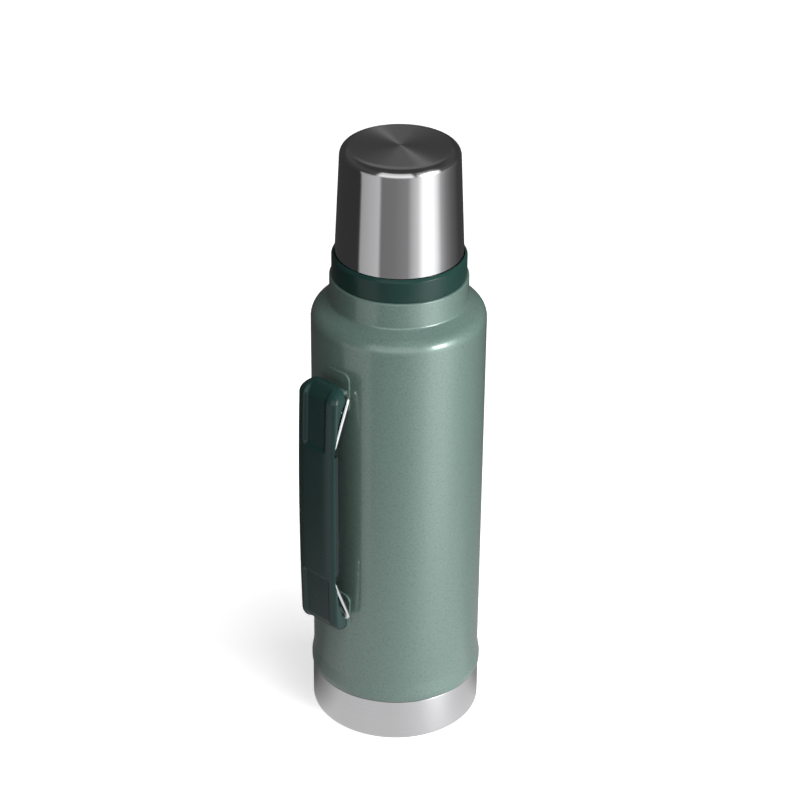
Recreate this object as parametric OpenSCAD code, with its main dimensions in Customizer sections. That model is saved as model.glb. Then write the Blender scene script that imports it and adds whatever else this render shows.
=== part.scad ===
// Vacuum flask with a screw-on steel cup, a screw stopper and a fold-flat carry handle.
// Millimetres, +Z up. The origin is the middle of the foot, on the surface it stands on.
// The handle is on the -Y side.

/* [Body] */
// Outside diameter of the painted jacket
body_d = 102; // [98:1:106]
// Height of the bare steel base band
band_h = 27.3; // [24:0.1:30]
// Outside diameter of the bare steel base band
band_d = 103.2; // [102.8:0.1:104]
// Height where the straight wall ends and the shoulder starts
shoulder_z = 267.5; // [262:0.5:270]
// Outside diameter of the painted neck
neck_d = 80.4; // [79:0.1:82]
// Height of the top of the painted neck
neck_top = 295; // [293:0.5:297]
// Sheet thickness of the steel jacket
sheet = 0.6; // [0.5:0.1:1]

/* [Liner] */
// Outside diameter of the inner vessel
liner_d = 93; // [88:1:94]
// Outside diameter of its neck
liner_neck_d = 54; // [50:1:54]
// Height of the mouth
mouth_z = 331.6; // [330:0.2:332]

/* [Collar] */
// Outside diameter of the plastic collar
collar_d = 77.9; // [77:0.1:79]
// Height of the collar's top edge
collar_top = 309.3; // [308:0.1:311]

/* [Cup] */
// Height of the cup's closed end, the top of the flask
top_z = 374.2; // [370:0.2:380]
// Outside diameter of the cup at the collar
cup_low_d = 74.1; // [73.5:0.1:74.1]
// Outside diameter of the cup just below its rounded end
cup_high_d = 68.6; // [66:0.2:70]
// Radius of the rounded edge of the closed end
cup_edge = 6; // [3:0.5:7]

/* [Stopper] */
// Outside diameter of the plug
plug_d = 51.2; // [48:0.2:51.4]
// Outside diameter of the stopper's cap
stopper_cap_d = 58; // [54:1:60]
// Height of the top of the stopper's cap
stopper_top = 346; // [344:1:350]

/* [Handle] */
// Length of the grip
grip_len = 166; // [164:1:168]
// Width of the grip
grip_w = 30; // [29.8:0.2:31]
// Distance from the flask's axis to the front of the grip
grip_front = 71; // [70.8:0.1:73]
// Height of the middle of the grip
grip_mid_z = 165; // [164.8:0.1:165.2]
// Diameter of the handle wire
wire_d = 3; // [2.8:0.1:3.1]
// Depth of the dished pockets in the ends of the grip
pocket_depth = 1; // [0.6:0.1:1.1]

/* [Hidden] */
$fn = 96;
e = 0.01;
body_r = body_d / 2;
jacket_r = band_d / 2 - 0.8;
bead_r = body_r + 1.3;
neck_r = neck_d / 2;
shoulder_r = 9.7;
shoulder_a = 60;
neck_fillet = 2;
tube_r = 29.5;
tube_top = mouth_z - 0.9;
liner_r = liner_d / 2;
liner_t = 0.5;
liner_neck_r = liner_neck_d / 2;
liner_low = 20;
liner_shoulder_z = 262;
liner_arc = 12;
collar_r = collar_d / 2;
collar_bore = cup_low_d / 2 + 0.35;
collar_floor = 1.8;
sleeve_r = 31;
cup_low = 298;
cup_t = 0.5;
cup_low_r = cup_low_d / 2;
cup_high_r = cup_high_d / 2;
cup_arc_z = top_z - cup_edge;
cup_liner_low_r = 35.4;
cup_liner_high_r = 32.8;
cup_liner_top = 370.5;
plug_r = plug_d / 2;
plug_low = 292;
cap_low = mouth_z + 1.9;
wire_r = wire_d / 2;
pivot_y = 53.8;
wire_len = 32.1;
wire_rest = 22.3;
leg_x = 11.5;
upper_pivot_z = 238.7;
lower_pivot_z = 87.2;
plate_w = 18.8;
plate_h = 26;
plate_t = 1;
tunnel_half = 8.4;
tunnel_r = 2.6;
wall = 1.6;
channel_front = 68.4;
cover_front = 68;
cover_back = 64.8;
cover_len = 81;
cover_w = 28;
tongue_w = 16.4;
tongue_back = 61.8;
tongue_front = 63.8;
tongue_end = 68.5;
screw_z = 64.2;
grip_half = grip_len / 2;

green_paint = [0.34, 0.45, 0.40];
steel = [0.75, 0.76, 0.77];
green_plastic = [0.11, 0.20, 0.18];
seam_plastic = [0.28, 0.30, 0.30];
rubber = [0.82, 0.83, 0.82];
foam = [0.90, 0.88, 0.82];

// Points on an arc, from angle a0 to a1.
function arc(cx, cz, r, a0, a1, n) =
    [for (i = [0:n]) [cx + r * cos(a0 + (a1 - a0) * i / n), cz + r * sin(a0 + (a1 - a0) * i / n)]];

// ---------- bottle ----------

// The jacket's shoulder and neck, moved inwards by o.
shoulder_end = [body_r - shoulder_r + shoulder_r * cos(shoulder_a),
                shoulder_z + shoulder_r * sin(shoulder_a)];
slope_run = (shoulder_end[0] - neck_r - neck_fillet + neck_fillet * cos(shoulder_a))
            / sin(shoulder_a);
fillet_z = shoulder_end[1] + slope_run * cos(shoulder_a) + neck_fillet * sin(shoulder_a);
function shoulder(o) = concat(
    arc(body_r - shoulder_r, shoulder_z, shoulder_r - o, 0, shoulder_a, 8),
    arc(neck_r + neck_fillet, fillet_z, neck_fillet + o, 180 + shoulder_a, 180, 6));

module jacket_outside() {
    lip = 0.8;
    polygon(concat(
        [[0, 6], [jacket_r, 6], [jacket_r, band_h + 0.4], [bead_r - 0.7, band_h + 0.5],
         [bead_r, band_h + 2], [bead_r, band_h + 3.7], [bead_r - 0.5, band_h + 6.5],
         [bead_r - 1, band_h + 9.5], [body_r, band_h + 12.5]],
        shoulder(0),
        arc(neck_r - lip, neck_top - lip, lip, 0, 90, 4),
        [[tube_r, neck_top], [tube_r, tube_top], [0, tube_top]]));
}

module jacket_inside() {
    polygon(concat(
        [[0, 5], [jacket_r - sheet, 5], [jacket_r - sheet, band_h + 6],
         [body_r - sheet, band_h + 12]],
        shoulder(sheet),
        [[neck_r - sheet, neck_top - sheet], [tube_r - sheet, neck_top - sheet],
         [tube_r - sheet, mouth_z], [0, mouth_z]]));
}

module outer_shell() {
    color(green_paint)
    rotate_extrude(convexity = 8)
    difference() {
        jacket_outside();
        jacket_inside();
    }
}

module base_cap() {
    foot_r = 1.3;
    recess_r = 45;
    recess_h = 2.5;
    floor_t = 0.8;
    wall_in = jacket_r + 0.05;
    color(steel)
    rotate_extrude(convexity = 8)
    polygon(concat(
        [[0, recess_h], [recess_r - 1, recess_h], [recess_r, 0]],
        arc(band_d / 2 - foot_r, foot_r, foot_r, -90, 0, 5),
        [[band_d / 2, band_h], [wall_in, band_h], [wall_in, foot_r + 0.4],
         [wall_in - 0.7, floor_t], [recess_r + 0.6, floor_t],
         [recess_r - 0.5, recess_h + floor_t], [0, recess_h + floor_t]]));
}

module jacket_base() {
    r = jacket_r - sheet;
    low = 9;
    rim_h = 5;
    color(steel)
    difference() {
        translate([0, 0, low]) cylinder(r = r, h = rim_h);
        translate([0, 0, low + sheet]) cylinder(r = r - sheet, h = rim_h);
    }
}

module vacuum_seal() {
    color(steel)
    translate([0, 0, 7.4]) cylinder(r1 = 3, r2 = 4, h = 1.6);
}

// Shoulder and neck of the vessel, moved inwards by o.
module liner_neck_outline(o) {
    nr = liner_neck_r - o;
    end = [liner_r - liner_arc + (liner_arc - o) * cos(60),
           liner_shoulder_z + (liner_arc - o) * sin(60)];
    neck_slope_z = end[1] + (end[0] - nr - 3) * tan(30);
    polygon(concat(
        [[0, liner_shoulder_z - 5 * o]], [[liner_r - o, liner_shoulder_z - 5 * o]],
        arc(liner_r - liner_arc, liner_shoulder_z, liner_arc - o, 0, 60, 8),
        [[nr + 3, neck_slope_z], [nr, neck_slope_z + 3], [nr, mouth_z + o], [0, mouth_z + o]]));
}

module liner_neck() {
    color(steel)
    rotate_extrude(convexity = 8)
    union() {
        difference() {
            liner_neck_outline(0);
            liner_neck_outline(liner_t);
        }
        translate([liner_neck_r - e, tube_top])
            square([tube_r - liner_neck_r + e, mouth_z - tube_top]);
    }
}

module inner_liner() {
    color(steel)
    translate([0, 0, liner_low])
    difference() {
        cylinder(r = liner_r, h = liner_shoulder_z - liner_low);
        translate([0, 0, -1]) cylinder(r = liner_r - liner_t, h = liner_shoulder_z);
    }
}

module liner_base() {
    r = liner_r - liner_t;
    rim_h = 6;
    color(steel)
    difference() {
        translate([0, 0, liner_low]) cylinder(r = r, h = rim_h);
        translate([0, 0, liner_low + liner_t]) cylinder(r = r - liner_t, h = rim_h);
    }
}

module getter() {
    color(steel)
    translate([0, 0, liner_low - 2]) cylinder(r = 8, h = 2);
}

module collar() {
    chamfer = 1.9;
    sleeve_top = collar_top + 6;
    thread_zs = [collar_top - 4, collar_top + 1.5];
    color(green_plastic)
    rotate_extrude(convexity = 8)
    union() {
        polygon([[tube_r + 0.1, neck_top], [collar_r, neck_top], [collar_r, collar_top - chamfer],
                 [collar_r - 1.2, collar_top], [collar_bore, collar_top],
                 [collar_bore, neck_top + collar_floor], [sleeve_r, neck_top + collar_floor],
                 [sleeve_r, sleeve_top], [tube_r + 0.1, sleeve_top]]);
        for (z = thread_zs)
            polygon([[sleeve_r - e, z - 1.2], [sleeve_r + 0.7, z - 0.4], [sleeve_r + 0.7, z + 0.4],
                     [sleeve_r - e, z + 1.2]]);
    }
}

// Painted plate on the jacket with a tunnel across it for the handle wire.
module bracket(z) {
    corner = 5;
    color(green_paint)
    translate([0, 0, z])
    difference() {
        union() {
            intersection() {
                difference() {
                    translate([0, 0, -plate_h / 2])
                        cylinder(r = body_r + plate_t, h = plate_h);
                    translate([0, 0, -plate_h]) cylinder(r = body_r, h = 2 * plate_h);
                }
                rounded_block(plate_w, plate_h, corner, 2 * body_r);
            }
            translate([0, -pivot_y, 0]) rotate([0, 90, 0])
                cylinder(r = tunnel_r, h = 2 * tunnel_half, center = true);
            difference() {
                translate([-tunnel_half, -pivot_y, -tunnel_r])
                    cube([2 * tunnel_half, pivot_y - 45, 2 * tunnel_r]);
                translate([0, 0, -plate_h]) cylinder(r = body_r, h = 2 * plate_h);
            }
        }
        translate([0, -pivot_y, 0]) rotate([0, 90, 0])
            cylinder(r = wire_r + 0.08, h = plate_w * 2, center = true);
    }
}

// Block with rounded corners seen from -Y, from y = 0 to y = -depth.
module rounded_block(w, h, r, depth) {
    rotate([90, 0, 0])
    linear_extrude(depth)
    union() {
        square([w - 2 * r, h], center = true);
        square([w, h - 2 * r], center = true);
        for (sx = [-1, 1], sz = [-1, 1])
            translate([sx * (w / 2 - r), sz * (h / 2 - r)]) circle(r);
    }
}

module upper_bracket() {
    bracket(upper_pivot_z);
}

module lower_bracket() {
    bracket(lower_pivot_z);
}

// ---------- stopper ----------

module stopper_body() {
    plug_wall = 2.2;
    plug_top = stopper_top - 4;
    pour_groove_r = 3;
    groove_top = plug_low + 28;
    thread_zs = [plug_low + 8, plug_low + 14, plug_low + 20];
    color(green_plastic)
    difference() {
        rotate_extrude(convexity = 8)
        union() {
            translate([plug_r - plug_wall, plug_low]) square([plug_wall, plug_top - plug_low]);
            for (z = thread_zs)
                polygon([[plug_r - e, z - 1], [plug_r + 0.25, z - 0.4],
                         [plug_r + 0.25, z + 0.4], [plug_r - e, z + 1]]);
        }
        for (a = [0, 180])
            rotate([0, 0, a]) translate([plug_r + pour_groove_r - 1.3, 0, plug_low - 1])
                cylinder(r = pour_groove_r, h = groove_top - plug_low);
    }
}

module stopper_cap() {
    r = stopper_cap_d / 2;
    edge = 2;
    top_t = 4;
    flutes = 16;
    color(green_plastic)
    difference() {
        rotate_extrude(convexity = 4)
        polygon(concat(
            [[plug_r + 0.02, cap_low], [r - 0.6, cap_low]],
            [[r, cap_low + 0.6]],
            arc(r - edge, stopper_top - edge, edge, 0, 90, 5),
            [[0, stopper_top], [0, stopper_top - top_t], [plug_r + 0.02, stopper_top - top_t]]));
        for (i = [0:flutes - 1])
            rotate([0, 0, i * 360 / flutes]) translate([r + 1.4, 0, cap_low + 2])
                cylinder(r = 2.2, h = stopper_top);
    }
}

module stopper_insulation() {
    color(foam)
    translate([0, 0, plug_low + 2]) cylinder(r = plug_r - 2.25, h = stopper_top - 4.1 - plug_low - 2);
}

module stopper_base() {
    color(green_plastic)
    union() {
        translate([0, 0, plug_low - 2]) cylinder(r1 = plug_r - 1.2, r2 = plug_r - 0.2, h = 2);
        translate([0, 0, plug_low - e]) cylinder(r = plug_r - 2.25, h = 2 + e);
    }
}

module stopper_gasket() {
    color(rubber)
    translate([0, 0, mouth_z + 0.05])
    difference() {
        cylinder(r = tube_r - 0.6, h = 1.75);
        translate([0, 0, -1]) cylinder(r = plug_r + 0.06, h = 4);
    }
}

// ---------- cup ----------

module cup_shell() {
    color(steel)
    rotate_extrude(convexity = 8)
    polygon(concat(
        [[cup_low_r, cup_low], [cup_low_r, collar_top]],
        arc(cup_high_r - cup_edge, cup_arc_z, cup_edge, 2, 90, 8),
        [[0, top_z], [0, top_z - cup_t]],
        arc(cup_high_r - cup_edge, cup_arc_z, cup_edge - cup_t, 90, 2, 8),
        [[cup_low_r - cup_t, collar_top], [cup_low_r - cup_t, cup_low]]));
}

// Radius of the cup liner's outside at height z.
function cup_liner_r(z) = cup_liner_low_r
    - (cup_liner_low_r - cup_liner_high_r) * (z - cup_low) / (cup_liner_top - cup_low);

module cup_liner() {
    rim_t = 0.8;
    edge = 3.5;
    top_r = cup_liner_r(cup_liner_top - edge);
    color(steel)
    rotate_extrude(convexity = 8)
    polygon(concat(
        [[cup_liner_r(cup_low) - cup_t, cup_low], [cup_low_r - cup_t - 0.02, cup_low],
         [cup_low_r - cup_t - 0.02, cup_low + rim_t], [cup_liner_r(cup_low + rim_t), cup_low + rim_t]],
        arc(top_r - edge, cup_liner_top - edge, edge, 2, 90, 6),
        [[0, cup_liner_top], [0, cup_liner_top - cup_t]],
        arc(top_r - edge, cup_liner_top - edge, edge - cup_t, 90, 2, 6)));
}

module cup_thread_ring() {
    low = cup_low + 1;
    high = collar_top - 0.3;
    gap = cup_t + 0.08;
    bore = sleeve_r + 1.1;
    color(green_plastic)
    rotate_extrude(convexity = 4)
    polygon([[bore, low], [cup_liner_r(low) - gap, low], [cup_liner_r(high) - gap, high],
             [bore, high]]);
}

module cup_gasket() {
    color(rubber)
    translate([0, 0, neck_top + collar_floor + 0.2])
    difference() {
        cylinder(r = 36, h = 0.9);
        translate([0, 0, -1]) cylinder(r = 33, h = 3);
    }
}

// ---------- handle ----------

// Quarter bend in the XY plane, centred on the origin, from +X round to +Y.
module wire_bend(r) {
    rotate_extrude(angle = 90, convexity = 2) translate([r, 0]) circle(wire_r, $fn = 32);
}

// Wire loop in the XY plane: two stubs on the X axis, two legs along -Y, and the cross bar.
module wire_loop() {
    stub_in = 4;
    bend_s = 2.5;
    bend_c = 3;
    color(steel)
    for (side = [0, 1])
        mirror([side, 0, 0]) {
            translate([stub_in, 0, 0]) rotate([0, 90, 0])
                cylinder(r = wire_r, h = leg_x - bend_s - stub_in, $fn = 32);
            translate([leg_x - bend_s, -bend_s, 0]) wire_bend(bend_s);
            translate([leg_x, -bend_s, 0]) rotate([90, 0, 0])
                cylinder(r = wire_r, h = wire_len - bend_s - bend_c, $fn = 32);
            translate([leg_x - bend_c, bend_c - wire_len, 0]) rotate([0, 0, -90])
                wire_bend(bend_c);
            translate([0, -wire_len, 0]) rotate([0, 90, 0])
                cylinder(r = wire_r, h = leg_x - bend_c, $fn = 32);
        }
}

module upper_wire() {
    translate([0, -pivot_y, upper_pivot_z]) rotate([90 - wire_rest, 0, 0]) wire_loop();
}

module lower_wire() {
    translate([0, -pivot_y, lower_pivot_z]) rotate([wire_rest - 90, 0, 0]) wire_loop();
}

// The grip's side outline is drawn as [distance from the axis, height over its middle].
// Its front bows, and each end curves over towards the body.
end_curve = 9;
bow_len = grip_half - end_curve;
function front_at(z) = grip_front - 1.4 * pow(z / bow_len, 2);
end_back = 59;
end_front = front_at(bow_len);
function grip_front_line(o) = concat(
    [for (i = [0:6]) [end_back + (end_front - end_back - o) * cos(90 - 15 * i),
                      -bow_len - (grip_half - bow_len - o) * sin(90 - 15 * i)]],
    [for (i = [-6:6]) [front_at(i * bow_len / 7) - o, i * bow_len / 7]],
    [for (i = [0:6]) [end_back + (end_front - end_back - o) * cos(15 * i),
                      bow_len + (grip_half - bow_len - o) * sin(15 * i)]]);

module side_profile(points, w) {
    rotate([90, 0, -90]) translate([0, 0, -w / 2]) linear_extrude(w) polygon(points);
}

// Back edge of one side wall, from its foot inwards: deep at the end, cut back along the wire.
back_edge = [[end_back, 75], [62.6, 70.5], [65.8, 61], [67, 50], [68.3, 44], [cover_front, 40.5]];
shell_back = concat(back_edge, [for (i = [len(back_edge) - 1:-1:0]) [back_edge[i][0], -back_edge[i][1]]]);

// Outline seen from the front, with wider corners at the top than at the bottom.
module grip_outline() {
    w = grip_w / 2;
    top_r = 9;
    foot_r = 5;
    rotate([90, 0, 0])
    linear_extrude(2 * grip_front)
    polygon(concat(
        arc(w - top_r, grip_half - top_r, top_r, 0, 90, 10),
        arc(top_r - w, grip_half - top_r, top_r, 90, 180, 10),
        arc(foot_r - w, foot_r - grip_half, foot_r, 180, 270, 8),
        arc(w - foot_r, foot_r - grip_half, foot_r, 270, 360, 8)));
}

// Crowned cross section, flat in the middle of the front and falling away to both sides.
module grip_section() {
    edge_w = 4.5;
    edge_d = 4;
    flat = grip_w / 2 - edge_w;
    deep = grip_front - edge_d;
    translate([0, 0, -grip_half])
    linear_extrude(grip_len)
    polygon(concat(
        [[-grip_w / 2, 0]],
        [for (i = [0:8]) [-flat - edge_w * cos(11.25 * i), -deep - edge_d * sin(11.25 * i)]],
        [for (i = [8:-1:0]) [flat + edge_w * cos(11.25 * i), -deep - edge_d * sin(11.25 * i)]],
        [[grip_w / 2, 0]]));
}

module grip_solid() {
    intersection() {
        side_profile(concat(grip_front_line(0), shell_back), 2 * grip_w);
        grip_outline();
        grip_section();
    }
}

// Room inside the shell, open towards the body.
module grip_hollow() {
    front_t = 2.1;
    inner_w = grip_w - 2 * wall - 0.2;
    top = grip_half - 2.6;
    difference() {
        for (s = [-1, 1])
            translate([0, 0, s * (cover_len / 2 + top) / 2]) {
                rotate([90, 0, 0]) linear_extrude(channel_front)
                    square([inner_w, top - cover_len / 2], center = true);
            }
        side_shell_cut(front_t);
    }
}

// Everything in front of the shell's inner face.
module side_shell_cut(front_t) {
    line = grip_front_line(front_t);
    outer = 90;
    rotate([90, 0, -90]) translate([0, 0, -grip_w]) linear_extrude(2 * grip_w)
    polygon(concat([[end_back, -outer]], line, [[end_back, outer], [outer, outer], [outer, -outer]]));
}

// Dished pocket in the front of each end.
module pocket(s) {
    pocket_w = 16.4;
    pocket_r = 4;
    inner_end = 43;
    len = grip_half + pocket_r - inner_end;
    intersection() {
        translate([0, 0, s * (inner_end + len / 2)])
            rounded_block(pocket_w, len, pocket_r, 2 * grip_front);
        rotate([90, 0, -90]) translate([0, 0, -grip_w]) linear_extrude(2 * grip_w)
            polygon(concat([[end_back, -100]], grip_front_line(pocket_depth),
                           [[end_back, 100], [100, 100], [100, -100]]));
    }
}

module grip_shell() {
    boss_r = 3.2;
    boss_back = tongue_front + 0.05;
    color(green_plastic)
    translate([0, 0, grip_mid_z])
    union() {
        difference() {
            grip_solid();
            grip_hollow();
            pocket(1);
            pocket(-1);
        }
        for (s = [-1, 1])
            difference() {
                translate([0, -boss_back, s * screw_z]) rotate([90, 0, 0])
                    cylinder(r = boss_r, h = 4.4, $fn = 48);
                translate([0, -boss_back + 1, s * screw_z]) rotate([90, 0, 0])
                    cylinder(r = 1.3, h = 4.2, $fn = 32);
            }
    }
}

module grip_cover() {
    joint_from = 35;
    joint_to = cover_len / 2 - 2;
    color(seam_plastic)
    translate([0, 0, grip_mid_z])
    difference() {
        union() {
            translate([0, -cover_back, 0]) rotate([90, 0, 0])
                linear_extrude(cover_front - cover_back)
                square([cover_w, cover_len], center = true);
            for (s = [0, 1])
                mirror([0, 0, s]) {
                    translate([-tongue_w / 2, -tongue_front, joint_from])
                        cube([tongue_w, tongue_front - tongue_back, tongue_end - joint_from]);
                    translate([-tongue_w / 2, -cover_front, joint_from])
                        cube([tongue_w, cover_front - tongue_back, joint_to - joint_from]);
                }
        }
        for (s = [-1, 1])
            translate([0, 0, s * screw_z]) rotate([90, 0, 0])
                cylinder(r = 1.6, h = 100, $fn = 32);
    }
}

module grip_screws() {
    head_r = 2.9;
    head_h = 1.4;
    color(steel)
    translate([0, 0, grip_mid_z])
    for (s = [-1, 1])
        translate([0, -tongue_back, s * screw_z]) rotate([90, 0, 0])
        difference() {
            union() {
                translate([0, 0, -head_h]) cylinder(r1 = head_r - 0.4, r2 = head_r, h = head_h, $fn = 48);
                translate([0, 0, -e]) cylinder(r = 1.25, h = 5, $fn = 32);
            }
            translate([-2, -0.4, -head_h - 1]) cube([4, 0.8, 1.7]);
            translate([-0.4, -2, -head_h - 1]) cube([0.8, 4, 1.7]);
        }
}

outer_shell();
base_cap();
jacket_base();
vacuum_seal();
inner_liner();
liner_neck();
liner_base();
getter();
collar();
upper_bracket();
lower_bracket();
stopper_body();
stopper_cap();
stopper_insulation();
stopper_base();
stopper_gasket();
cup_shell();
cup_liner();
cup_thread_ring();
cup_gasket();
upper_wire();
lower_wire();
grip_shell();
grip_cover();
grip_screws();
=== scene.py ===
import math

import bmesh
import bpy
from mathutils import Matrix, Vector


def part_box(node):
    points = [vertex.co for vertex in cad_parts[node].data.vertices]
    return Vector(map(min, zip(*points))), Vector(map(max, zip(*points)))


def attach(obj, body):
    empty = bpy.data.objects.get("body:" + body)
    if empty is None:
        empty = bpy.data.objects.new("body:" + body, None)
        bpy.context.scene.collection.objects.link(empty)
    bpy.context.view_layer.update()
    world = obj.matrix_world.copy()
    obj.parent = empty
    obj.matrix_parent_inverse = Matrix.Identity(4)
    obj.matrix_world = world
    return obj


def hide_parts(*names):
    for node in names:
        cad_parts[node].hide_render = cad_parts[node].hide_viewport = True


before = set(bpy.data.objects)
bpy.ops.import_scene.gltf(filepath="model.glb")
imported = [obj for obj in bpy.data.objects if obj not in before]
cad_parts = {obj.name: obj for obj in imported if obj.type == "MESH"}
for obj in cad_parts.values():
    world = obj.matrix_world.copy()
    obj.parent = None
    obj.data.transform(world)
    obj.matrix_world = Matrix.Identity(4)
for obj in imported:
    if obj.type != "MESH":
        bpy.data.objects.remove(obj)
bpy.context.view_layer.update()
MM = 0.001

# ---------------------------------------------------------------- camera

SIDE = math.radians(43)  # the camera stands this far round from the handle's side
PITCH, YAW, ROLL = math.radians(29.935), math.radians(0.055), math.radians(0.573)
CAMERA_PLACE = Vector((0, -1.2074, 0.906))  # before it is turned by SIDE
LENS, SENSOR = 106.25, 36


def camera():
    """Looks down about 30 degrees from 1.2 m in front of the flask's axis."""
    forward = Vector((math.sin(YAW) * math.cos(PITCH), math.cos(YAW) * math.cos(PITCH), -math.sin(PITCH)))
    right = Vector((math.cos(YAW), -math.sin(YAW), 0))
    up = right.cross(forward)
    x = math.cos(ROLL) * right + math.sin(ROLL) * up
    y = math.cos(ROLL) * up - math.sin(ROLL) * right
    turn = Matrix.Rotation(SIDE, 3, "Z")
    data = bpy.data.cameras.new("camera")
    data.lens, data.sensor_width = LENS, SENSOR
    data.clip_start, data.clip_end = 0.05, 20
    cam = bpy.data.objects.new("camera", data)
    bpy.context.scene.collection.objects.link(cam)
    place = Matrix.Identity(4)
    for i, axis in enumerate((x, y, -forward)):
        place.col[i] = (*(turn @ axis), 0)
    place.col[3] = (*(turn @ CAMERA_PLACE), 1)
    cam.matrix_world = place
    bpy.context.scene.camera = cam


camera()

# ---------------------------------------------------------------- light


def link(tree, a, b):
    tree.links.new(a, b)


# Brightness round the flask, as (degrees from the camera with left negative, brightness). It was set
# against the photo's highlights. A wall seen from above reflects what is below the horizon, and the
# cup's top, shoulder and fillets reflect what is above it.
LOW_BOXES = [(-180, 0.05), (-77, 0.05), (-73, 0.56), (-38, 0.78), (-33, 0.25), (-10, 0.27),
             (14, 0.36), (21, 0.64), (27, 0.82), (33, 1.0), (42, 1.8), (60, 1.9), (70, 1.4),
             (80, 0.60), (92, 0.32), (106, 0.18), (130, 0.07), (180, 0.05)]
HIGH_BOXES = [(-180, 0.05), (-60, 0.07), (-46, 0.12), (-36, 1.3), (22, 1.5), (28, 0.25), (36, 1.4),
              (42, 4.0), (46, 15.0), (60, 15.0), (66, 4.0), (80, 0.15), (130, 0.07), (180, 0.05)]
TOP_BOXES = [(-180, 0.09), (-44, 0.09), (-36, 1.1), (20, 1.1), (28, 0.10), (40, 0.6), (64, 0.6),
             (80, 0.09), (180, 0.09)]
DARK_GAP = 0.06
OVERHEAD = 0.22
# Heights (z of the direction) between which one layer gives way to the next.
LOW_TO_HIGH, HIGH_TO_TOP, TOP_TO_GAP = (-0.05, 0.08), (0.34, 0.42), (0.62, 0.74)
# The overhead patch: where its middle is, and how near to it (as a cosine) it starts and is full.
OVERHEAD_MIDDLE, OVERHEAD_EDGE = (0, 0.5, 0.866), (0.88, 0.97)


def from_camera(t, vector):
    """The vector in axes that face the camera, its height, and its azimuth from the camera."""
    turn = t.nodes.new("ShaderNodeMapping")
    turn.inputs["Rotation"].default_value = (0, 0, -SIDE)
    split = t.nodes.new("ShaderNodeSeparateXYZ")
    link(t, vector, turn.inputs["Vector"])
    link(t, turn.outputs["Vector"], split.inputs["Vector"])
    around = maths(t, "ARCTAN2", split.outputs["X"], maths(t, "MULTIPLY", split.outputs["Y"], -1))
    return turn.outputs["Vector"], split.outputs["Z"], around


def brightness(t, around, boxes):
    """Looks an azimuth up in a list of (degrees, brightness)."""
    return ramp(t, remap(t, around, (-math.pi, math.pi)), [((a + 180) / 360, v) for a, v in boxes])


def world_light():
    """A studio that only gloss and light see: layers of boxes by height, and a patch overhead. The camera
    sees white."""
    world = bpy.data.worlds.new("studio")
    bpy.context.scene.world = world
    world.use_nodes = True
    t = world.node_tree
    t.nodes.clear()
    coord = t.nodes.new("ShaderNodeTexCoord")
    direction, height, around = from_camera(t, coord.outputs["Generated"])
    low, high, top = (brightness(t, around, boxes) for boxes in (LOW_BOXES, HIGH_BOXES, TOP_BOXES))
    colour = blend(t, remap(t, height, LOW_TO_HIGH), low, high)
    colour = blend(t, remap(t, height, HIGH_TO_TOP), colour, top)
    colour = blend(t, remap(t, height, TOP_TO_GAP), colour, (DARK_GAP,) * 3)
    overhead = t.nodes.new("ShaderNodeVectorMath")
    overhead.operation = "DOT_PRODUCT"
    overhead.inputs[1].default_value = OVERHEAD_MIDDLE
    link(t, direction, overhead.inputs[0])
    colour = blend(t, remap(t, overhead.outputs["Value"], OVERHEAD_EDGE), colour, (OVERHEAD,) * 3)
    lit = t.nodes.new("ShaderNodeBackground")
    link(t, colour, lit.inputs["Color"])
    seen = t.nodes.new("ShaderNodeBackground")
    seen.inputs["Color"].default_value = (1, 1, 1, 1)
    path = t.nodes.new("ShaderNodeLightPath")
    pick = t.nodes.new("ShaderNodeMixShader")
    out = t.nodes.new("ShaderNodeOutputWorld")
    link(t, path.outputs["Is Camera Ray"], pick.inputs["Fac"])
    link(t, lit.outputs[0], pick.inputs[1])
    link(t, seen.outputs[0], pick.inputs[2])
    link(t, pick.outputs[0], out.inputs["Surface"])


def maths(t, kind, a, b=None):
    n = t.nodes.new("ShaderNodeMath")
    n.operation = kind
    for socket, value in zip(n.inputs, (a, b)):
        if isinstance(value, bpy.types.NodeSocket):
            link(t, value, socket)
        elif value is not None:
            socket.default_value = value
    return n.outputs[0]


def remap(t, value, source=(0, 1), target=(0, 1)):
    """Maps the range source onto the range target, clamped."""
    n = t.nodes.new("ShaderNodeMapRange")
    for socket, number in zip(("From Min", "From Max", "To Min", "To Max"), (*source, *target)):
        n.inputs[socket].default_value = number
    link(t, value, n.inputs["Value"])
    return n.outputs["Result"]


def ramp_stops(colours, stops):
    """Sets a colour ramp to (place, grey value) or (place, colour) stops."""
    while len(colours.elements) > 1:
        colours.elements.remove(colours.elements[-1])
    for i, (place, value) in enumerate(stops):
        e = colours.elements[0] if i == 0 else colours.elements.new(place)
        e.position = place
        e.color = (value, value, value, 1) if isinstance(value, (int, float)) else (*value, 1)


LIT_POINT = Vector((0, 0, 0.2))  # the middle of the flask, which the area lights face


def softbox(name, azimuth, elevation, distance, width, height, watts):
    """An area light that faces the flask and isn't seen in its gloss. Azimuth is round from the camera."""
    data = bpy.data.lights.new(name, "AREA")
    data.shape = "RECTANGLE"
    data.size, data.size_y, data.energy = width, height, watts
    lamp = bpy.data.objects.new(name, data)
    bpy.context.scene.collection.objects.link(lamp)
    a = SIDE + math.radians(azimuth)
    e = math.radians(elevation)
    away = Vector((math.sin(a) * math.cos(e), -math.cos(a) * math.cos(e), math.sin(e)))
    lamp.location = LIT_POINT + away * distance
    lamp.rotation_euler = away.to_track_quat("Z", "Y").to_euler()
    lamp.visible_glossy = False


FLOOR_Z, GLOW_Z = -0.0002, -0.0001  # just under the flask, so that nothing lies in one plane
FLOOR_R, GLOW_R = 3, 1


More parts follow.
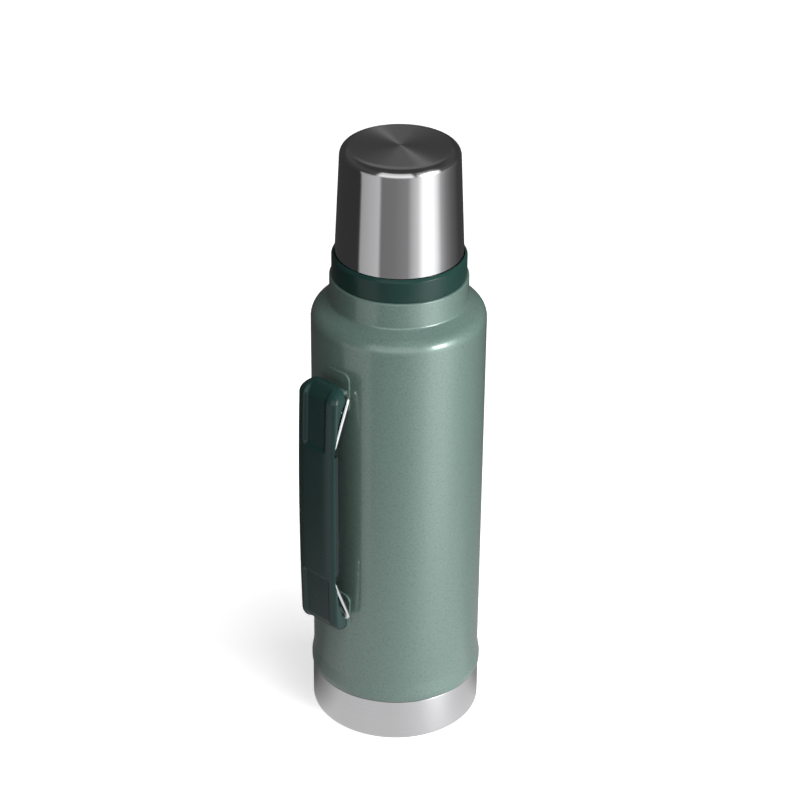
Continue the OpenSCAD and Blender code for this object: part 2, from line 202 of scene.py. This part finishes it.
def floor():
    """A pale round floor that glows a little, so that it meets the white background seen from above."""
    bm = bmesh.new()
    bmesh.ops.create_circle(bm, cap_ends=True, radius=FLOOR_R, segments=96)
    me = bpy.data.meshes.new("floor")
    bm.to_mesh(me)
    bm.free()
    o = bpy.data.objects.new("floor", me)
    bpy.context.scene.collection.objects.link(o)
    o.location.z = FLOOR_Z
    o.visible_glossy = o.visible_diffuse = False
    m, _, bsdf = shader("floor_white")
    bsdf.inputs["Base Color"].default_value = (0.85, 0.85, 0.85, 1)
    bsdf.inputs["Roughness"].default_value = 0.9
    bsdf.inputs["Emission Color"].default_value = (1, 1, 1, 1)
    bsdf.inputs["Emission Strength"].default_value = 0.6
    me.materials.append(m)


# ---------------------------------------------------------------- materials


def shader(name):
    m = bpy.data.materials.new(name)
    m.use_nodes = True
    t = m.node_tree
    return m, t, t.nodes["Principled BSDF"]


def coords(t, scale=(1, 1, 1)):
    c = t.nodes.new("ShaderNodeTexCoord")
    m = t.nodes.new("ShaderNodeMapping")
    m.inputs["Scale"].default_value = scale
    link(t, c.outputs["Object"], m.inputs["Vector"])
    return m.outputs["Vector"]


def noise(t, vector, scale, detail=2.0, roughness=0.5):
    n = t.nodes.new("ShaderNodeTexNoise")
    n.inputs["Scale"].default_value = scale
    n.inputs["Detail"].default_value = detail
    n.inputs["Roughness"].default_value = roughness
    link(t, vector, n.inputs["Vector"])
    return n.outputs["Fac"]


def cells(t, vector, scale, feature="F1"):
    n = t.nodes.new("ShaderNodeTexVoronoi")
    n.feature = feature
    n.inputs["Scale"].default_value = scale
    link(t, vector, n.inputs["Vector"])
    return n


def ramp(t, fac, stops):
    n = t.nodes.new("ShaderNodeValToRGB")
    ramp_stops(n.color_ramp, stops)
    link(t, fac, n.inputs["Fac"])
    return n.outputs["Color"]


def blend(t, fac, a, b):
    n = t.nodes.new("ShaderNodeMix")
    n.data_type = "RGBA"
    for socket, value in (("Factor", fac), ("A", a), ("B", b)):
        if isinstance(value, bpy.types.NodeSocket):
            link(t, value, n.inputs[socket])
        elif socket == "Factor":
            n.inputs[socket].default_value = value
        else:
            n.inputs[socket].default_value = (*value, 1)
    return n.outputs["Result"]


def bump(t, bsdf, height, strength, distance):
    n = t.nodes.new("ShaderNodeBump")
    n.inputs["Strength"].default_value = strength
    n.inputs["Distance"].default_value = distance
    link(t, height, n.inputs["Height"])
    link(t, n.outputs["Normal"], bsdf.inputs["Normal"])


# Brightness of the table round the flask, in the same degrees.
TABLE = [(-180, 0.10), (-100, 0.12), (-80, 0.40), (-58, 0.80), (0, 0.80), (20, 0.92), (42, 1.05),
         (60, 0.95), (80, 0.85), (100, 0.4), (180, 0.25)]
# Strength of the glow by metres from the axis.
TABLE_FADE = [(0.0, 1.0), (0.12, 1.0), (0.34, 0.35), (0.60, 0.0), (1.0, 0.0)]


def table_glow():
    """Not seen by the camera: the pale table as the gloss sees it, bright near the flask and fading out."""
    bm = bmesh.new()
    bmesh.ops.create_circle(bm, cap_ends=True, radius=GLOW_R, segments=64)
    me = bpy.data.meshes.new("table_glow")
    bm.to_mesh(me)
    bm.free()
    o = bpy.data.objects.new("table_glow", me)
    bpy.context.scene.collection.objects.link(o)
    o.location.z = GLOW_Z
    o.visible_camera = o.visible_diffuse = o.visible_shadow = o.visible_transmission = False
    m = bpy.data.materials.new("table_glow")
    m.use_nodes = True
    t = m.node_tree
    t.nodes.clear()
    v = coords(t)
    length = t.nodes.new("ShaderNodeVectorMath")
    length.operation = "LENGTH"
    link(t, v, length.inputs[0])
    fade = ramp(t, length.outputs["Value"], TABLE_FADE)
    around = from_camera(t, v)[2]
    glow = brightness(t, around, TABLE)
    shine = t.nodes.new("ShaderNodeEmission")
    link(t, glow, shine.inputs["Color"])
    clear = t.nodes.new("ShaderNodeBsdfTransparent")
    mix = t.nodes.new("ShaderNodeMixShader")
    out = t.nodes.new("ShaderNodeOutputMaterial")
    link(t, fade, mix.inputs["Fac"])
    link(t, clear.outputs[0], mix.inputs[1])
    link(t, shine.outputs[0], mix.inputs[2])
    link(t, mix.outputs[0], out.inputs["Surface"])
    me.materials.append(m)


def hammered_paint():
    """Green hammer finish: small rounded cells, each its own shade, with fine metal flake under a clear gloss."""
    m, t, b = shader("hammered_green")
    v = coords(t)
    cell = cells(t, v, 900, "SMOOTH_F1")
    shade = cells(t, v, 1300)
    flake = noise(t, v, 2600, 1.0)
    cloud = noise(t, v, 60, 3.0)
    grey = t.nodes.new("ShaderNodeSeparateColor")
    link(t, shade.outputs["Color"], grey.inputs["Color"])
    colour = ramp(t, cell.outputs["Distance"],
                  [(0.0, (0.126, 0.198, 0.174)), (0.55, (0.108, 0.172, 0.150)), (1.0, (0.080, 0.130, 0.113))])
    colour = blend(t, remap(t, grey.outputs["Red"], target=(0.0, 0.25)), colour, (0.170, 0.248, 0.220))
    sparkle = ramp(t, flake, [(0.0, 0.0), (0.62, 0.0), (0.74, 0.5), (1.0, 0.6)])
    colour = blend(t, sparkle, colour, (0.25, 0.335, 0.305))
    colour = blend(t, remap(t, cloud, target=(0.0, 0.15)), colour, (0.090, 0.146, 0.127))
    link(t, colour, b.inputs["Base Color"])
    b.inputs["Metallic"].default_value = 0.3
    link(t, remap(t, grey.outputs["Green"], target=(0.30, 0.48)), b.inputs["Roughness"])
    b.inputs["Coat Weight"].default_value = 1.0
    b.inputs["Coat Roughness"].default_value = 0.07
    bump(t, b, cell.outputs["Distance"], 0.22, 0.00012)
    return m


def flat_part(t):
    """1 on faces that look straight up or down, 0 elsewhere."""
    g = t.nodes.new("ShaderNodeNewGeometry")
    split = t.nodes.new("ShaderNodeSeparateXYZ")
    link(t, g.outputs["Normal"], split.inputs["Vector"])
    return remap(t, maths(t, "ABSOLUTE", split.outputs["Z"]), (0.97, 0.995))


def turned_steel(name, level, rough, aniso, streak=0.12, disc=0.33):
    """Bare steel with fine rings round the axis, as turned or spun metal has. Flat discs are duller."""
    m, t, b = shader(name)
    v = coords(t, (6, 6, 2200))
    fine = noise(t, v, 1.0, 4.0, 0.7)
    smear = noise(t, coords(t), 35, 3.0)
    low = tuple(c * (1 - streak) for c in level)
    colour = blend(t, fine, low, tuple(min(1, c * (1 + streak)) for c in level))
    colour = blend(t, remap(t, smear, target=(0.0, 0.10)), colour, low)
    link(t, colour, b.inputs["Base Color"])
    b.inputs["Metallic"].default_value = 1
    roughness = blend(t, flat_part(t), (rough,) * 3, (disc,) * 3)
    link(t, roughness, b.inputs["Roughness"])
    b.inputs["Anisotropic"].default_value = aniso
    b.inputs["Anisotropic Rotation"].default_value = 0.25
    tangent = t.nodes.new("ShaderNodeTangent")
    tangent.direction_type = "RADIAL"
    tangent.axis = "Z"
    link(t, tangent.outputs["Tangent"], b.inputs["Tangent"])
    bump(t, b, fine, 0.06, 0.00003)
    return m


def moulded_plastic(name, colour, rough, gloss):
    """Dark moulded plastic with a fine grain and a gloss that varies a little."""
    m, t, b = shader(name)
    v = coords(t)
    cloud = noise(t, v, 90, 3.0)
    grain = noise(t, v, 3200, 2.0)
    base = blend(t, remap(t, cloud, target=(0.0, 0.5)), colour, tuple(c * 1.25 for c in colour))
    link(t, base, b.inputs["Base Color"])
    link(t, remap(t, cloud, target=(rough * 0.85, rough * 1.15)), b.inputs["Roughness"])
    b.inputs["Specular IOR Level"].default_value = gloss
    bump(t, b, grain, 0.10, 0.00004)
    return m


def soft_rubber(name, colour):
    m, t, b = shader(name)
    v = coords(t)
    cloud = noise(t, v, 140, 4.0)
    base = blend(t, cloud, tuple(c * 0.92 for c in colour), colour)
    link(t, base, b.inputs["Base Color"])
    link(t, remap(t, cloud, target=(0.55, 0.7)), b.inputs["Roughness"])
    bump(t, b, noise(t, v, 1800, 2.0), 0.12, 0.00005)
    return m


def drawn_wire():
    m, t, b = shader("drawn_wire")
    v = coords(t)
    fine = noise(t, v, 1500, 3.0)
    colour = blend(t, fine, (0.62, 0.63, 0.64), (0.80, 0.81, 0.82))
    link(t, colour, b.inputs["Base Color"])
    b.inputs["Metallic"].default_value = 1
    link(t, remap(t, fine, target=(0.14, 0.26)), b.inputs["Roughness"])
    bump(t, b, fine, 0.05, 0.00003)
    return m


def foam():
    m, t, b = shader("foam")
    v = coords(t)
    cell = cells(t, v, 1400)
    colour = ramp(t, cell.outputs["Distance"], [(0.0, (0.60, 0.57, 0.48)), (1.0, (0.78, 0.75, 0.66))])
    link(t, colour, b.inputs["Base Color"])
    b.inputs["Roughness"].default_value = 0.9
    bump(t, b, cell.outputs["Distance"], 0.4, 0.0002)
    return m


GREEN = hammered_paint()
BAND = turned_steel("band_steel", (0.60, 0.60, 0.61), 0.30, 0.7)
CUP = turned_steel("cup_steel", (0.56, 0.56, 0.57), 0.12, 0.9, 0.05)
INNER = turned_steel("inner_steel", (0.50, 0.50, 0.51), 0.30, 0.3)
PLASTIC = moulded_plastic("green_plastic", (0.008, 0.029, 0.024), 0.22, 0.30)
GRIP = moulded_plastic("grip_plastic", (0.009, 0.029, 0.026), 0.26, 0.36)
# Dark grey plastic for the grip's inner cover, made darker still as painted shade for the shadowed gap between the
# grip and the body.
COVER_PLASTIC_AND_SHADE = moulded_plastic("seam_plastic", (0.010, 0.016, 0.016), 0.5, 0.20)
RUBBER = soft_rubber("silicone", (0.62, 0.63, 0.62))
WIRE = drawn_wire()
FOAM = foam()

# ---------------------------------------------------------------- mesh helpers


def finish_piece(o, body, material, sharp_from, replaces):
    """Gives a piece its material and smoothing, parents it to the empty of the body it rides on, and hides the CAD
    pieces it stands in for.
    """
    bpy.context.scene.collection.objects.link(o)
    o.data.materials.clear()
    o.data.materials.append(material)
    o.data.shade_smooth()
    o.data.set_sharp_from_angle(angle=math.radians(sharp_from))
    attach(o, body)
    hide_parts(*replaces)


def mesh_object(name, verts, faces):
    me = bpy.data.meshes.new(name)
    me.from_pydata([tuple(c * MM for c in v) for v in verts], [], faces)
    bm = bmesh.new()
    bm.from_mesh(me)
    bmesh.ops.remove_doubles(bm, verts=bm.verts, dist=1e-7)
    bmesh.ops.recalc_face_normals(bm, faces=bm.faces)
    bm.to_mesh(me)
    bm.free()
    return bpy.data.objects.new(name, me)


def arc(cx, cz, r, a0, a1, n=10):
    return [(cx + r * math.cos(math.radians(a0 + (a1 - a0) * i / n)),
             cz + r * math.sin(math.radians(a0 + (a1 - a0) * i / n))) for i in range(n + 1)]


def rounded(corners, n=6):
    """A closed outline from (r, z) or (r, z, radius) corners, each with a radius rounded off."""
    out = []
    count = len(corners)
    for i, c in enumerate(corners):
        p = Vector(c[:2])
        radius = c[2] if len(c) > 2 else 0
        if not radius:
            out.append(tuple(p))
            continue
        a = (Vector(corners[i - 1][:2]) - p).normalized()
        b = (Vector(corners[(i + 1) % count][:2]) - p).normalized()
        half = math.acos(max(-1, min(1, a.dot(b)))) / 2
        reach = radius / math.tan(half)
        centre = p + (a + b).normalized() * radius / math.sin(half)
        start, end = p + a * reach - centre, p + b * reach - centre
        sweep = start.angle_signed(end)
        for k in range(n + 1):
            turn = Matrix.Rotation(-sweep * k / n, 2)
            out.append(tuple(centre + turn @ start))
    return out


def lathe(name, outline, body, material, replaces, sharp_from=35, steps=256):
    """Turns a closed outline of (radius, height) points in millimetres round the Z axis."""
    verts, faces, rings = [], [], []
    for r, z in outline:
        if r < 1e-6:
            rings.append([len(verts)] * steps)
            verts.append((0, 0, z))
        else:
            rings.append([len(verts) + i for i in range(steps)])
            verts += [(r * math.cos(2 * math.pi * i / steps), r * math.sin(2 * math.pi * i / steps), z)
                      for i in range(steps)]
    for k in range(len(rings)):
        a, b = rings[k], rings[(k + 1) % len(rings)]
        if a[0] == a[1] and b[0] == b[1]:
            continue
        for i in range(steps):
            j = (i + 1) % steps
            face = []
            for v in (a[i], a[j], b[j], b[i]):
                if v not in face:
                    face.append(v)
            if len(face) > 2:
                faces.append(face)
    finish_piece(mesh_object(name, verts, faces), body, material, sharp_from, replaces)


# ---------------------------------------------------------------- sizes, from the CAD boxes


def radius(node):
    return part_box(node)[1].x / MM


def heights(node):
    lo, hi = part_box(node)
    return lo.z / MM, hi.z / MM


BAND_R, BAND_TOP = radius("base_cap"), heights("base_cap")[1]
BEAD = 1.3  # how far the bead stands out from the body
BODY_R = radius("outer_shell") - BEAD
NECK_TOP = 295.0
COLLAR_R, COLLAR_TOP = radius("collar"), 309.3
CUP_LOW_R = radius("cup_shell")
CUP_LOW, CUP_TOP = heights("cup_shell")
SHEET, CUP_SHEET = 0.6, 0.5
SHOULDER_R, SHOULDER_Z, SHOULDER_END = 9.7, 267.5, 60
NECK_R, NECK_FILLET, NECK_FILLET_Z, NECK_LIP = 40.2, 2, 280.49, 0.7
TUBE_R, TUBE_TOP = 29.5, 330.6

# ---------------------------------------------------------------- bottle


def jacket():
    """Painted steel jacket: bead over the band, straight wall, round shoulder, neck with a rolled lip."""
    foot_r, foot_z, bead_z = BAND_R - 0.8, 6, BAND_TOP + 0.4
    fillet_r, inner_neck_r, lip_z = NECK_R + NECK_FILLET, NECK_R - SHEET, NECK_TOP - SHEET
    outline = [(foot_r, foot_z), (foot_r, bead_z)]
    outline += rounded([(foot_r, bead_z), (BODY_R + 1.25, bead_z, 0.9), (BODY_R + BEAD, BAND_TOP + 4.2, 1.6),
                        (BODY_R, BAND_TOP + 12.5, 9), (BODY_R, 100)], 8)[1:-1]
    outline += [(BODY_R, z) for z in (60, 100, 140, 180, 220, 250)]
    outline += arc(BODY_R - SHOULDER_R, SHOULDER_Z, SHOULDER_R, 0, SHOULDER_END, 16)
    outline += arc(fillet_r, NECK_FILLET_Z, NECK_FILLET, 180 + SHOULDER_END, 180, 10)
    outline += [(NECK_R, 287), (NECK_R, 293.6)]
    outline += arc(NECK_R - NECK_LIP, NECK_TOP - NECK_LIP, NECK_LIP, 0, 90, 6)
    outline += [(TUBE_R, NECK_TOP), (TUBE_R, lip_z), (inner_neck_r, lip_z), (inner_neck_r, NECK_FILLET_Z)]
    outline += arc(fillet_r, NECK_FILLET_Z, NECK_FILLET + SHEET, 180, 180 + SHOULDER_END, 6)
    outline += arc(BODY_R - SHOULDER_R, SHOULDER_Z, SHOULDER_R - SHEET, SHOULDER_END, 0, 10)
    outline += [(BODY_R - SHEET, 40), (foot_r - SHEET, 33), (foot_r - SHEET, foot_z)]
    lathe("jacket", outline, "bottle", GREEN, ["outer_shell"])


def mouth_tube():
    """Bare steel tube inside the neck. In the CAD it is part of the outer shell."""
    inner_r, low, corner = TUBE_R - SHEET, NECK_TOP - SHEET, TUBE_TOP - 0.2
    outline = [(inner_r, low), (TUBE_R, low), (TUBE_R, corner), (TUBE_R - SHEET / 2, TUBE_TOP), (inner_r, corner)]
    lathe("mouth_tube", outline, "bottle", INNER, ["outer_shell"])


def band():
    """Bare steel base band with a rounded foot and a recessed bottom."""
    inner_r, bottom, inside = BAND_R - 0.75, 2.5, 3.8
    outline = rounded([(0, bottom), (43.8, bottom, 1.0), (44.6, 0.0, 0.8), (BAND_R, 0, 1.3),
                       (BAND_R, BAND_TOP, 0.3), (inner_r, BAND_TOP, 0.2), (inner_r, inside), (0, inside)])
    lathe("band", outline, "bottle", BAND, ["base_cap"])


def collar():
    """Plastic ring on the neck: a wall round the cup's edge, and a sleeve with two rings for its thread."""
    bore, sleeve, crest, sleeve_top = 29.6, 31, 31.7, 315.3
    wall_in, ledge = 37.4, NECK_TOP + 1.8
    corners = [(bore, NECK_TOP), (COLLAR_R, NECK_TOP, 0.3), (COLLAR_R, COLLAR_TOP - 1.7, 0.8),
               (37.75, COLLAR_TOP, 0.35), (wall_in, COLLAR_TOP, 0.15), (wall_in, ledge, 0.3), (sleeve, ledge, 0.3)]
    for low, flat in ((304.0, 1.0), (309.4, 1.2)):
        corners += [(sleeve, low), (crest, low + 0.8, 0.2), (crest, low + 0.8 + flat, 0.2),
                    (sleeve, low + 1.6 + flat)]
    corners += [(sleeve, sleeve_top, 0.4), (bore, sleeve_top, 0.4)]
    lathe("collar_ring", rounded(corners), "bottle", PLASTIC, ["collar"])


# ---------------------------------------------------------------- cup


def cup():
    """Polished cup, closed end up: a slightly tapered wall and a rounded edge round a flat disc."""
    edge, high, wall_end = 6.0, 34.3, 3
    inner_r = CUP_LOW_R - CUP_SHEET
    outline = [(inner_r, CUP_LOW), (CUP_LOW_R - 0.2, CUP_LOW), (CUP_LOW_R, CUP_LOW + 0.3),
               (CUP_LOW_R, COLLAR_TOP - 1)]
    top = arc(high - edge, CUP_TOP - edge, edge, wall_end, 90, 18)
    high_r, high_z = top[0]
    outline += [(CUP_LOW_R + (high_r - CUP_LOW_R) * k / 8, COLLAR_TOP + (high_z - COLLAR_TOP) * k / 8)
                for k in range(8)]
    outline += top
    outline += [(r, CUP_TOP) for r in (26, 20, 14, 8, 3, 0)]
    outline += [(0, CUP_TOP - CUP_SHEET), (20, CUP_TOP - CUP_SHEET)]
    outline += arc(high - edge, CUP_TOP - edge, edge - CUP_SHEET, 90, wall_end, 10)
    outline += [(inner_r, COLLAR_TOP)]
    lathe("cup_wall", outline, "cup", CUP, ["cup_shell"], 30)


# ---------------------------------------------------------------- grip


GRIP_END = 9  # length over which each end of the grip curves back
GRIP_BOW = 1.4  # how much further the grip stands out in the middle than at its ends
GRIP_CROWN = 4
GRIP_SKIN = 0.75
POCKET_DEPTH = 1.7
CORNER_TOP, CORNER_FOOT = 9, 5  # corner radii of the front's outline
SCREW_Z = 64.2  # the screws stand this far above and below the grip's middle
BOSS_R, BOSS_BACK, BOSS_FRONT = 3.2, 63.9, 67.7


def smooth(x):
    x = max(0.0, min(1.0, x))
    return x * x * (3 - 2 * x)


def grip_rows(half, front, back):
    """Middle line of the grip's front from foot to top: distance from the axis, height from the grip's
    middle, the direction that the surface faces, and how far the end has curved over."""
    bow, fall, steps, count = half - GRIP_END, front - GRIP_BOW - back, 16, 210
    ends = []
    for i in range(steps + 1):
        a = math.radians(90 * i / steps)
        ends.append((back + fall * math.cos(a), bow + GRIP_END * math.sin(a),
                     math.cos(a) * GRIP_END, math.sin(a) * fall, a))
    foot = [(rho, -z, n_rho, -n_z, a) for rho, z, n_rho, n_z, a in reversed(ends)]
    middle = []
    for i in range(1, count):
        z = -bow + 2 * bow * i / count
        middle.append((front - GRIP_BOW * (z / bow) ** 2, z, 1, 2 * GRIP_BOW * z / bow ** 2, 0))
    return foot + middle + ends


def grip_section(rho, base, w):
    """Half section of the grip, from the edge of its side wall to the middle of its crowned front."""
    start = math.asin(max(0, min(1, (base - rho + GRIP_CROWN) / GRIP_CROWN)))
    wall_x = w * math.cos(start) ** 0.5
    points = [(wall_x, base + max(0, rho - GRIP_CROWN - base) * k / 5) for k in range(5)]
    for k in range(31):
        t = start + (math.pi / 2 - start) * k / 30
        points.append((w * max(0, math.cos(t)) ** 0.5, rho - GRIP_CROWN + GRIP_CROWN * math.sin(t)))
    return points


def add_bosses(verts, faces, mid, sides=32):
    """Adds the two tubes behind the front that the screws go into."""
    for end in (-1, 1):
        first = len(verts)
        verts += [(BOSS_R * math.cos(2 * math.pi * k / sides), -rho,
                   mid + end * SCREW_Z + BOSS_R * math.sin(2 * math.pi * k / sides))
                  for rho in (BOSS_BACK, BOSS_FRONT) for k in range(sides)]
        faces += [(first + k, first + (k + 1) % sides, first + sides + (k + 1) % sides, first + sides + k)
                  for k in range(sides)]


def grip_shell():
    """Moulded outer half of the grip: bowed and crowned front, ends curved over, a dished pocket in each
    end, side walls cut back along the wires."""
    lo, hi = (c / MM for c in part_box("grip_shell"))
    half, mid = (hi.z - lo.z) / 2, (hi.z + lo.z) / 2
    front, back, width = -lo.y, -hi.y, hi.x
    edge = [(83, back), (75, back), (70.5, 62.6), (61, 65.8), (50, 67), (44, 68.3), (40.5, 68), (0, 68)]
    rows = grip_rows(half, front, back)
    verts, faces, across = [], [], 0
    for rho, z, n_rho, n_z, a in rows:
        corner = CORNER_TOP if z > 0 else CORNER_FOOT
        over = max(0, abs(z) - (half - corner))
        w = width - corner + math.sqrt(max(0, corner ** 2 - over ** 2))
        right = grip_section(rho, min(edge_at(edge, abs(z)), rho - 0.02), w)
        line = right + [(-x, y) for x, y in reversed(right[:-1])]
        across = len(line)
        size = math.hypot(n_rho, n_z)
        for x, y in line:
            dip = POCKET_DEPTH * pocket(x, z) * (1 - smooth((math.degrees(a) - 35) / 40))
            verts.append((x, -(y - dip * n_rho / size), mid + z - dip * n_z / size))
    for i in range(len(rows) - 1):
        for k in range(i * across, (i + 1) * across - 1):
            faces.append((k, k + 1, k + across + 1, k + across))
    add_bosses(verts, faces, mid)
    o = mesh_object("grip_outer", verts, faces)
    face_outwards(o, Vector((0, -60 * MM, mid * MM)))
    thick = o.modifiers.new("wall", "SOLIDIFY")
    thick.thickness = GRIP_SKIN * MM
    thick.offset = -1
    finish_piece(o, "grip", GRIP, 60, ["grip_shell"])


def edge_at(edge, z):
    """Where the side wall ends, from a list of (height from the middle, distance from the axis)."""
    for (z1, r1), (z0, r0) in zip(edge, edge[1:]):
        if z0 <= z <= z1:
            return r0 + (r1 - r0) * (z - z0) / (z1 - z0)
    return edge[0][1]


def pocket(x, z):
    """1 inside the dished pocket, 0 outside, with a soft rim. x is across and z is from the grip's middle."""
    corner, start, length, rim = 3.0, 42.5, 60, 2.2
    half_w = 9.0 if z > 0 else 11.0
    dx = abs(x) - (half_w - corner)
    dz = abs(abs(z) - (start + length / 2)) - (length / 2 - corner)
    outside = math.hypot(max(dx, 0), max(dz, 0)) + min(max(dx, dz), 0) - corner
    return smooth(-outside / rim)


def face_outwards(o, inside):
    """Turns the faces of an open sheet so that they look away from a point."""
    bm = bmesh.new()
    bm.from_mesh(o.data)
    bmesh.ops.recalc_face_normals(bm, faces=bm.faces)
    score = sum((f.calc_center_median() - inside).dot(f.normal) * f.calc_area() for f in bm.faces)
    if score < 0:
        bmesh.ops.reverse_faces(bm, faces=bm.faces)
    bm.to_mesh(o.data)
    bm.free()


def soften(name, width, segments=2):
    """Rounds the sharp edges of a CAD piece a little, as moulding or pressing does."""
    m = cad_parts[name].modifiers.new("soft_edges", "BEVEL")
    m.width = width * MM
    m.segments = segments
    m.limit_method = "ANGLE"
    m.angle_limit = math.radians(40)
    m.harden_normals = False


# ---------------------------------------------------------------- finishes for the CAD pieces that stay

FINISH = {
    "jacket_base": INNER, "vacuum_seal": INNER, "inner_liner": INNER, "liner_base": INNER, "getter": INNER,
    "upper_bracket": GREEN, "lower_bracket": GREEN, "stopper_body": PLASTIC, "stopper_cap": PLASTIC,
    "stopper_insulation": FOAM, "stopper_base": PLASTIC, "stopper_gasket": RUBBER, "cup_liner": INNER,
    "cup_thread_ring": PLASTIC, "cup_gasket": RUBBER, "upper_wire": WIRE, "lower_wire": WIRE,
    # The grip's inner cover takes the dark plastic with painted shade of the gap.
    "liner_neck": INNER, "grip_cover": COVER_PLASTIC_AND_SHADE, "grip_screws": WIRE,
}


def dress_cad():
    """Puts the finishes on the CAD nodes that are shown as they are."""
    for name, material in FINISH.items():
        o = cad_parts[name]
        if o.material_slots:
            for s in o.material_slots:
                s.material = material
        else:
            o.data.materials.append(material)
        o.data.shade_smooth()
        o.data.set_sharp_from_angle(angle=math.radians(30))


# ---------------------------------------------------------------- all together

dress_cad()
jacket()
mouth_tube()
band()
collar()
cup()
grip_shell()
for node in ("upper_bracket", "lower_bracket"):
    soften(node, 0.3)
soften("grip_cover", 0.7, 3)
floor()
table_glow()
world_light()
softbox("right_box", azimuth=80, elevation=2, distance=1.3, width=0.8, height=1.6, watts=22)
softbox("left_box", azimuth=-40, elevation=10, distance=1.4, width=0.4, height=1.1, watts=1.0)
softbox("top_box", azimuth=30, elevation=66, distance=1.2, width=0.5, height=0.5, watts=10)
bpy.context.scene.view_settings.view_transform = "Standard"
